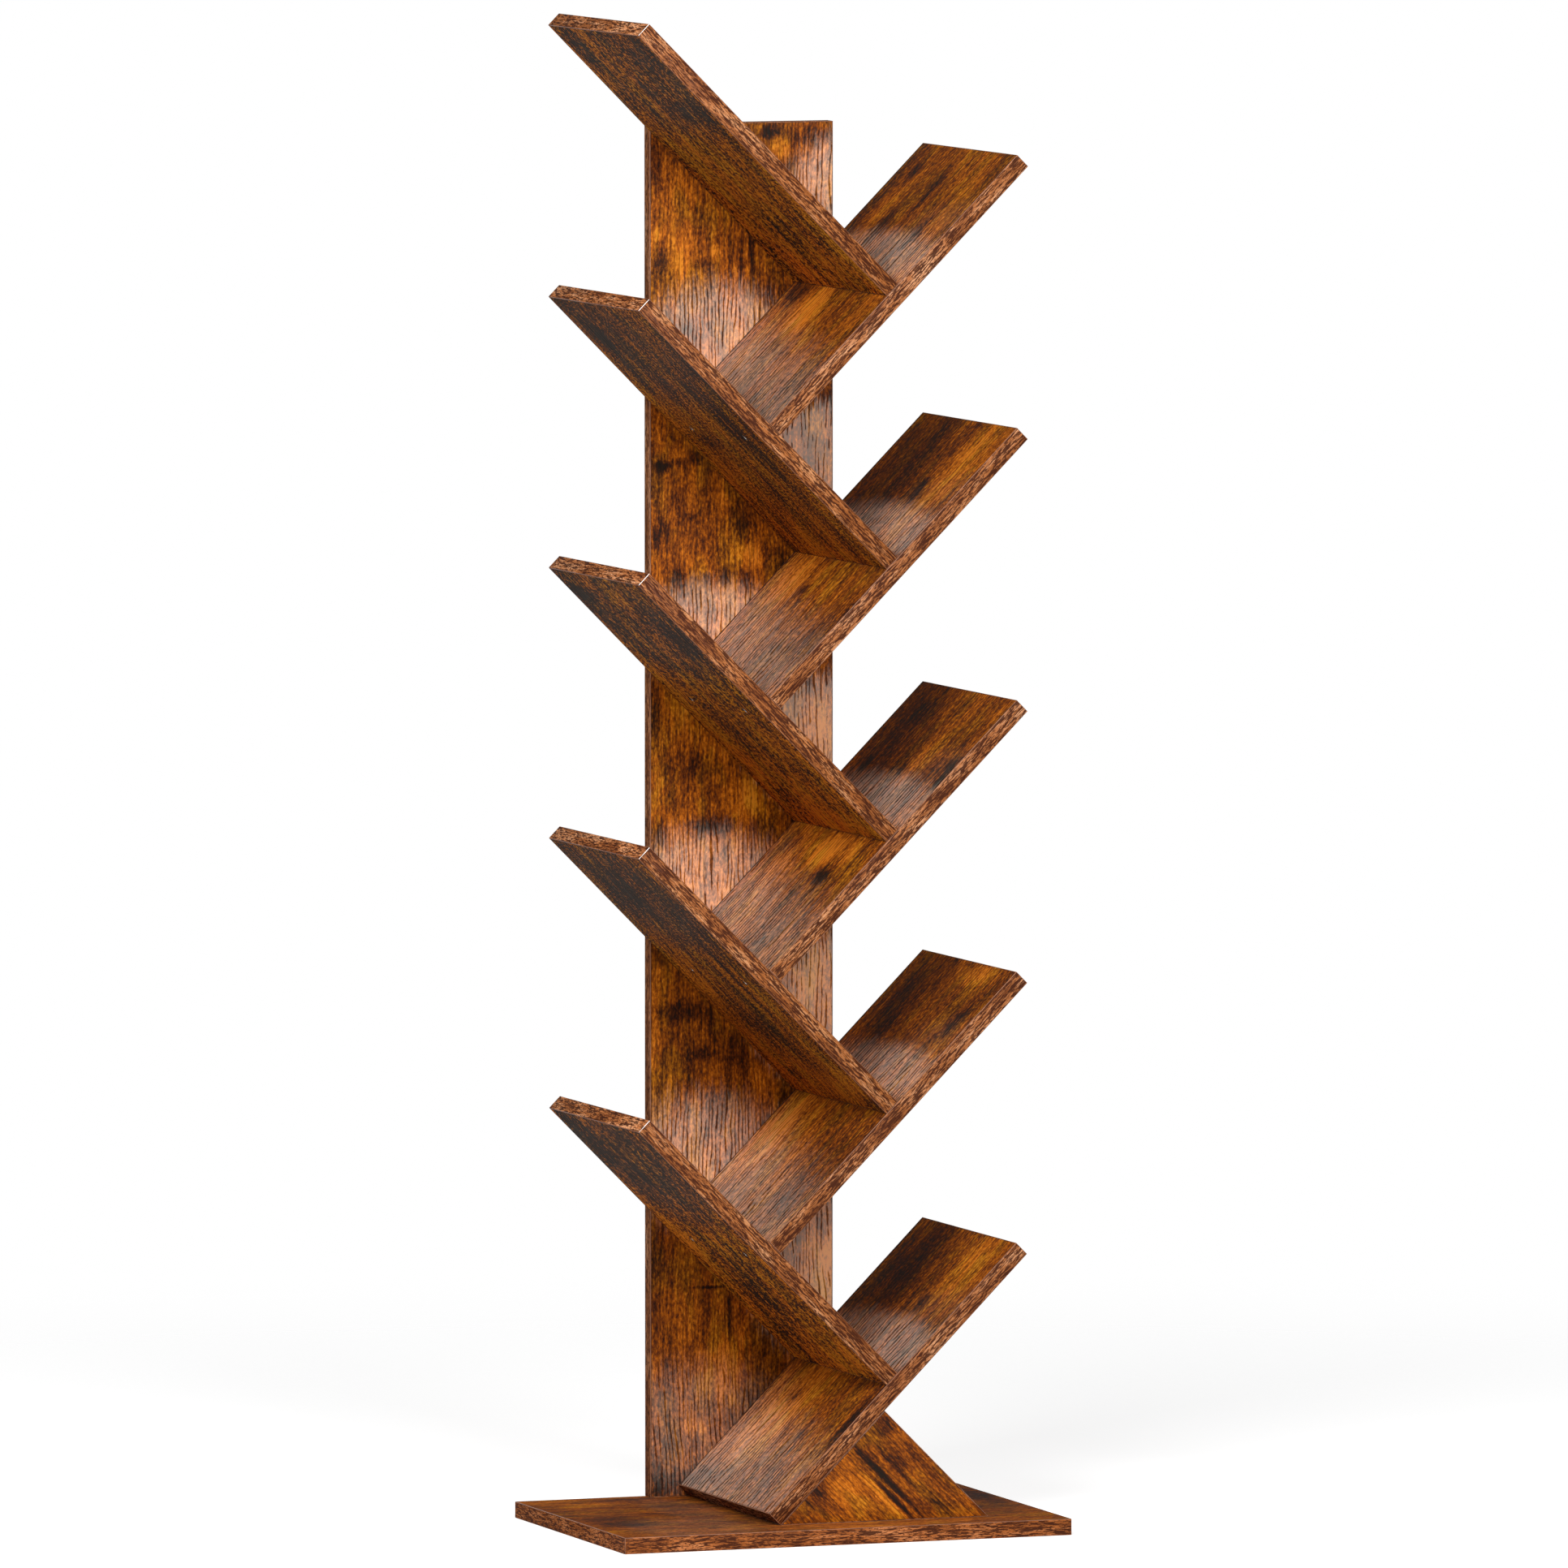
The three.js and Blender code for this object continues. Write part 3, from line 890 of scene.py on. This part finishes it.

# A mark is (along, across, half length, half width, strength), in mm. Dark and light marks are mostly print, and some
# are painted shade and painted light; the sheen marks are painted sheen.
# On a shelf, along runs up from its lower end and across back from its front.
SHELF_PRINT = {
    "right_shelf_5": dict(
        tone=0.58,
        dark=(
            (305, 130, 34, 12, 0.45), (323, 213, 16, 14, 0.40), (252, 170, 28, 18, 0.26), (270, 245, 100, 14, 0.18),
            (157, 230, 16, 26, 0.34), (140, 88, 34, 14, 0.14),
        ),
        light=((140, 165, 38, 42, 0.26), (250, 40, 90, 34, 0.04)),
    ),
    "right_shelf_4": dict(
        tone=0.56,
        dark=(
            (290, 205, 84, 54, 0.22), (267, 100, 20, 12, 0.40), (128, 152, 9, 12, 0.34), (108, 167, 72, 5, 0.24),
            (304, 150, 84, 44, 0.17),
        ),
        light=((130, 60, 44, 70, 0.10), (145, 215, 36, 44, 0.24), (304, 40, 76, 46, 0.26)),
    ),
    "right_shelf_3": dict(
        tone=0.55,
        dark=(
            (288, 200, 80, 60, 0.20), (252, 218, 14, 13, 0.30), (323, 197, 22, 18, 0.28), (264, 9, 24, 12, 0.42),
            (115, 80, 11, 27, 0.36), (105, 38, 68, 5, 0.24), (242, 45, 44, 5, 0.22), (150, 217, 18, 24, 0.30),
        ),
        light=((148, 120, 26, 38, 0.56), (151, 62, 22, 16, 0.44), (274, 91, 28, 30, 0.16), (160, 215, 20, 40, 0.14)),
    ),
    "right_shelf_2": dict(
        tone=0.55,
        dark=((300, 196, 70, 64, 0.20), (315, 217, 36, 18, 0.16), (290, 35, 26, 9, 0.36), (130, 54, 44, 58, 0.10)),
        light=((105, 226, 66, 40, 0.32), (345, 80, 18, 52, 0.30)),
    ),
    "right_shelf_1": dict(
        tone=0.54,
        dark=(
            (297, 204, 66, 54, 0.34), (265, 88, 17, 14, 0.42), (16, 220, 20, 42, 0.26), (132, 186, 12, 14, 0.36),
            (115, 8, 38, 10, 0.50),
        ),
        light=((105, 188, 68, 52, 0.28), (308, 50, 56, 42, 0.30)),
    ),
    "left_shelf_5": dict(
        tone=0.66,
        dark=(
            (70, 148, 34, 7, 0.50), (86, 100, 22, 34, 0.28), (53, 228, 12, 36, 0.30), (160, 250, 60, 16, 0.34),
            (246, 88, 20, 22, 0.60), (252, 30, 22, 36, 0.40), (328, 224, 38, 32, 0.60),
        ),
        light=((160, 164, 58, 60, 0.26), (160, 40, 62, 48, 0.24), (296, 160, 66, 84, 0.22)),
    ),
    "left_shelf_4": dict(
        tone=0.56,
        dark=(
            (307, 207, 26, 24, 0.75), (62, 214, 40, 44, 0.32), (164, 190, 13, 58, 0.30), (108, 114, 24, 14, 0.28),
            (200, 60, 90, 26, 0.22), (250, 150, 90, 16, 0.16),
        ),
        light=((116, 172, 20, 46, 0.28), (8, 100, 14, 150, 0.24), (330, 30, 60, 40, 0.14), (290, 110, 80, 80, 0.12)),
    ),
    "left_shelf_3": dict(
        tone=0.60,
        dark=(
            (46, 204, 20, 30, 0.40), (115, 169, 10, 8, 0.44), (246, 186, 24, 44, 0.40), (280, 42, 40, 44, 0.50),
            (327, 224, 14, 34, 0.75), (80, 80, 44, 8, 0.22), (232, 120, 12, 90, 0.16),
        ),
        light=((100, 222, 60, 42, 0.36), (128, 70, 28, 78, 0.24), (10, 100, 22, 140, 0.50), (325, 140, 36, 54, 0.14)),
    ),
    "left_shelf_2": dict(
        tone=0.54,
        dark=(
            (105, 155, 22, 42, 0.32), (33, 196, 10, 28, 0.46), (297, 178, 36, 52, 0.32), (340, 230, 30, 40, 0.25),
            (112, 150, 64, 90, 0.14),
        ),
        light=((168, 210, 36, 52, 0.16), (46, 20, 28, 36, 0.38), (22, 80, 24, 62, 0.36), (130, 50, 66, 60, 0.08)),
    ),
    "left_shelf_1": dict(
        tone=0.54,
        dark=(
            (43, 194, 26, 62, 0.30), (105, 150, 22, 52, 0.26), (320, 230, 42, 42, 0.36), (270, 150, 20, 60, 0.16),
            (122, 136, 84, 100, 0.17),
        ),
        light=((172, 226, 40, 34, 0.18), (40, 20, 28, 36, 0.36), (18, 80, 22, 62, 0.34), (140, 50, 66, 60, 0.08)),
    ),
}
# What every shelf on a side has
SIDE_PRINT = {
    "right": dict(
        dark=(),
        light=(
            (140, 215, 48, 84, 0.16), (152, 130, 34, 62, 0.10), (84, 160, 56, 110, 0.12), (310, 225, 80, 50, 0.07),
        ),
        # Painted sheen: pale highlight marks at the lower end and just past where the left shelf stands
        wash=(
            (0, 260, 110, 355, 0.66), (40, 265, 110, 130, 0.26), (214, 108, 37, 165, 0.78), (238, 0, 60, 120, 0.10),
        ),
        fine=(1, 0.55, 1),
        # A painted shadow line where the back panel meets the shelf's rear edge
        joint=SHELF_DEPTH,
        Grit=1.8,
    ),
    "left": dict(
        dark=((300, 100, 96, 190, 0.48), (160, 30, 90, 50, 0.12), (350, 240, 30, 50, 0.16)),
        light=((34, 215, 64, 110, 0.14), (130, 245, 110, 70, 0.20), (20, 110, 52, 90, 0.10)),
        # Painted sheen on the outer part of the underside
        wash=((302, 130, 88, 190, 0.13),),
        fine=(1.7, 0.5, 1),
        Grit=6.5,
        Contrast=1.8,
        Streaks=2.2,
    ),
}

# On the panel, along is the height above the base and across runs from the right edge
PANEL_DARK = (
    (1336, 65, 8, 13, 0.40), (1329, 22, 12, 28, 0.26), (1308, 184, 30, 9, 0.26), (1205, 177, 24, 14, 0.26),
    (1208, 136, 6, 13, 0.20), (1217, 84, 34, 4, 0.32), (1214, 96, 30, 4, 0.30), (1222, 106, 26, 4, 0.26),
    (1144, 151, 7, 8, 0.26),
    (1010, 178, 8, 11, 0.42), (1020, 141, 9, 10, 0.40), (1014, 160, 5, 16, 0.26), (940, 180, 16, 14, 0.28),
    (961, 149, 6, 8, 0.32), (960, 92, 22, 18, 0.30), (918, 60, 26, 20, 0.34), (902, 92, 17, 9, 0.34),
    (902, 112, 11, 6, 0.30), (900, 131, 7, 5, 0.26), (902, 160, 10, 6, 0.26),
    (768, 185, 32, 7, 0.28), (718, 150, 18, 32, 0.22), (653, 180, 15, 12, 0.32), (658, 122, 12, 34, 0.36),
    (653, 76, 15, 17, 0.30),
    (533, 180, 12, 12, 0.28), (476, 160, 12, 30, 0.32), (465, 127, 24, 2, 0.45), (437, 101, 21, 15, 0.28),
    (434, 139, 9, 18, 0.28), (372, 128, 30, 15, 0.20),
    (205, 128, 2, 20, 0.45), (176, 108, 30, 2.5, 0.40), (200, 72, 28, 18, 0.24), (70, 171, 58, 19, 0.14),
    (12, 130, 17, 84, 0.34), (1072, 0, 20, 40, 0.3), (985, 166, 40, 26, 0.12),
)
PANEL_LIGHT = (
    (1237, 183, 8, 7, 0.30), (1210, 156, 28, 13, 0.26), (1220, 126, 10, 10, 0.24), (1320, 55, 14, 12, 0.34),
    (920, 90, 15, 21, 0.26), (934, 60, 7, 7, 0.28), (690, 87, 19, 14, 0.34), (505, 153, 24, 34, 0.12),
    (120, 122, 30, 36, 0.18), (68, 143, 11, 17, 0.22),
    # The next two rows are painted light: brighter where light falls at the bottom of each nook and in the small
    # triangles at the right edge
    (1100, 110, 60, 64, 0.12), (820, 125, 66, 66, 0.26), (575, 130, 66, 70, 0.30), (310, 125, 66, 66, 0.06),
    (745, 10, 48, 44, 0.30), (482, 10, 50, 44, 0.26), (218, 10, 46, 44, 0.26),
    (655, 130, 30, 50, 0.10), (640, 170, 30, 20, 0.12), (738, 118, 26, 26, 0.22), (474, 118, 22, 22, 0.10),
    (200, 168, 84, 28, 0.10), (640, 84, 34, 34, 0.14),
)
# Painted sheen: a pale highlight at the bottom of each nook and in the small triangles at the right edge
PANEL_PAINTED_SHEEN = (
    (1128, 124, 62, 74, 0.96), (850, 130, 48, 84, 0.84), (600, 135, 56, 90, 0.86), (330, 132, 66, 86, 0.84),
    (66, 140, 68, 90, 0.36),
    (1276, 0, 54, 46, 0.95), (1005, 0, 58, 70, 4.4), (735, 0, 62, 76, 4.2), (474, 0, 70, 78, 2.5),
    (212, 0, 76, 80, 1.8),
)

# On the gusset, along runs down its right leg from the apex, and across down its left leg, negative
GUSSET_DARK = (
    (40, -46, 54, 3.5, 0.60), (66, -54, 42, 3, 0.55), (48, -31, 48, 3, 0.32), (45, -24, 15, 6, 0.28),
    (8, -12, 13, 12, 0.32), (60, -8, 52, 5, 0.20), (5, -100, 11, 14, 0.26), (110, -20, 30, 20, 0.08),
)
GUSSET_LIGHT = ((62, -61, 46, 5, 0.28), (34, -82, 38, 26, 0.18))

# On the base, along runs from its left end and across back from its front
BASE_DARK = ((38, 128, 36, 52, 0.28), (440, 210, 18, 80, 0.26))
BASE_LIGHT = ((60, 240, 62, 50, 0.12), (270, 20, 116, 40, 0.30))
# Painted sheen on the base's top
BASE_PAINTED_SHEEN = ((90, 50, 64, 90, 0.14), (132, 200, 32, 110, 0.10), (270, 20, 120, 60, 0.05))


def shelf_film(name, side, corner, axes, seed):
    """A shelf's print: its own marks and those that every shelf on its side has."""
    own, shared = SHELF_PRINT[name], SIDE_PRINT[side]
    marks = {kind: own[kind] + shared[kind] for kind in ("dark", "light")}
    return laminate(f"printed_{name}", corner, axes, seed, **{**shared, **own, **marks})


def make_shelves():
    shape = banded_board(SHELF_LENGTH, SHELF_DEPTH)
    for seed, (side, tier) in enumerate(all_shelves(), 1):
        name = f"{side}_shelf_{tier}"
        corner, axes = shelf_corner(side, tier), shelf_axes(side)
        film = shelf_film(name, side, corner, axes, seed)
        fit_board(shape, name, corner, axes, film, BANDS[side])
    bpy.data.objects.remove(shape)


def make_panel():
    origin = Vector((PANEL_WIDTH / 2, PANEL_FRONT, THICKNESS))
    marks = dict(dark=PANEL_DARK, light=PANEL_LIGHT, wash=PANEL_PAINTED_SHEEN)
    inputs = dict(fine=(1, 0.85, 1), Blots=0.5, Pores=0.45, Grit=1.6, Contrast=1.25)
    film = laminate("printed_back_panel", origin, PANEL_AXES, seed=31, tone=0.58, **marks, **inputs)
    shape = banded_board(PANEL_TOP - THICKNESS, PANEL_WIDTH)
    fit_board(shape, "back_panel", origin, PANEL_AXES, film, BANDS["panel"])
    bpy.data.objects.remove(shape)


def make_base():
    origin = Vector((-BASE_WIDTH / 2, -BASE_DEPTH / 2, THICKNESS))
    marks = dict(dark=BASE_DARK, light=BASE_LIGHT, wash=BASE_PAINTED_SHEEN)
    film = laminate("printed_base_board", origin, BASE_AXES, seed=41, tone=0.52, **marks)
    shape = banded_board(BASE_WIDTH, BASE_DEPTH)
    fit_board(shape, "base_board", origin, BASE_AXES, film, BANDS["base"])
    bpy.data.objects.remove(shape)


def make_gusset():
    low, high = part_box("front_gusset")
    apex = Vector(((low.x + high.x) / 2, low.y, high.z))
    marks = dict(dark=GUSSET_DARK, light=GUSSET_LIGHT)
    film = laminate("printed_front_gusset", apex, GUSSET_AXES, seed=51, tone=0.58, **marks)
    shape = banded_gusset()
    fit_board(shape, "front_gusset", apex, GUSSET_AXES, film, BANDS["gusset"])
    bpy.data.objects.remove(shape)


def make_screws():
    screw = countersunk_screw()
    for name, mouth, direction, _ in SCREWS:
        piece = copy_piece(screw, f"{name}_piece", along_screw(mouth, direction))
        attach(piece, "root")
        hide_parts(name)
    bpy.data.objects.remove(screw)


make_shelves()
make_panel()
make_base()
make_gusset()
make_screws()
bpy.data.objects.remove(HOLE)


# Floor, light and camera

FLOOR_SIZE, FLOOR_GAP = 8, 0.1 * MM
# How far out from the middle the floor starts to fade and is gone, in metres
FLOOR_FADE_START, FLOOR_FADE_END = 0.7, 2.4
FLOOR_GLOW, WORLD_GLOW = 0.58, 0.22
LIGHT_CENTRE = Vector((0, 0, 0.75))


def white_to_camera(sketch):
    """1 for camera, glossy and transmission rays, so that they meet a white studio; 0 for light."""
    path = sketch.add("ShaderNodeLightPath").outputs
    seen = sketch.math("MAXIMUM", path["Is Camera Ray"], path["Is Glossy Ray"])
    return sketch.math("MAXIMUM", seen, path["Is Transmission Ray"])


def plain_floor():
    """A pale floor that keeps the shadow and fades into the white backdrop further out."""
    start_shape()
    bpy.ops.mesh.primitive_plane_add(size=FLOOR_SIZE, location=(0, 0, -FLOOR_GAP))
    floor = bpy.context.object
    floor.name = "plain_floor"
    material, sketch, shader = new_material("pale_floor")
    shader["Base Color"].default_value = (0.9, 0.9, 0.9, 1)
    shader["Roughness"].default_value = 1.0
    shader["Specular IOR Level"].default_value = 0.0
    shader["Emission Color"].default_value = (1, 1, 1, 1)
    glow = sketch.math("MULTIPLY", white_to_camera(sketch), FLOOR_GLOW)
    sketch.feed(shader["Emission Strength"], glow)
    away = sketch.vector("LENGTH", object_vector(sketch))
    sketch.feed(shader["Alpha"], sketch.spread(away, FLOOR_FADE_START, FLOOR_FADE_END, 1, 0))
    floor.data.materials.append(material)


def white_world():
    world = bpy.data.worlds.new("white_studio")
    world.use_nodes = True
    bpy.context.scene.world = world
    sketch = Sketch(world.node_tree)
    background = world.node_tree.nodes["Background"].inputs
    background["Color"].default_value = (1, 1, 1, 1)
    glow = sketch.spread(white_to_camera(sketch), 0, 1, WORLD_GLOW, 1, smooth=False)
    sketch.feed(background["Strength"], glow)


def stand_off(name, data, centre, azimuth, elevation, distance):
    """A lamp or camera that looks at centre from a distance; azimuth is 0 in front and positive to the right."""
    turn, lift = math.radians(azimuth), math.radians(elevation)
    away = Vector((math.sin(turn) * math.cos(lift), -math.cos(turn) * math.cos(lift), math.sin(lift)))
    thing = bpy.data.objects.new(name, data)
    bpy.context.scene.collection.objects.link(thing)
    thing.location = centre + away * distance
    thing.rotation_euler = away.to_track_quat("Z", "Y").to_euler()
    return thing


def softbox(name, azimuth, elevation, distance, width, height, level):
    """A soft lamp; level is how bright it alone would make a white card that faces it."""
    light = bpy.data.lights.new(name, "AREA")
    light.shape = "RECTANGLE"
    light.size = width
    light.size_y = height
    light.energy = level * (math.pi * distance) ** 2
    lamp = stand_off(name, light, LIGHT_CENTRE, azimuth, elevation, distance)
    lamp.visible_camera = False


def set_camera():
    """The photograph's view: a long lens from 20.1 degrees to the left and 4.64 degrees up."""
    distance, pixels_per_metre, frame_pixels = 18.9888, 1278.18, 1932
    data = bpy.data.cameras.new("photo_view")
    data.sensor_width = 36
    data.lens = pixels_per_metre * distance * data.sensor_width / frame_pixels
    data.clip_end = 100
    target = Vector((-0.05117, SHELF_FRONT, 0.73529))
    bpy.context.scene.camera = stand_off("photo_view", data, target, -20.10011, 4.64231, distance)


plain_floor()
white_world()
softbox("front_softbox", azimuth=0, elevation=18, distance=3.2, width=0.9, height=1.0, level=0.60)
softbox("left_softbox", azimuth=-39, elevation=31, distance=3.5, width=1.6, height=0.9, level=0.70)
set_camera()
bpy.context.scene.view_settings.view_transform = "Standard"
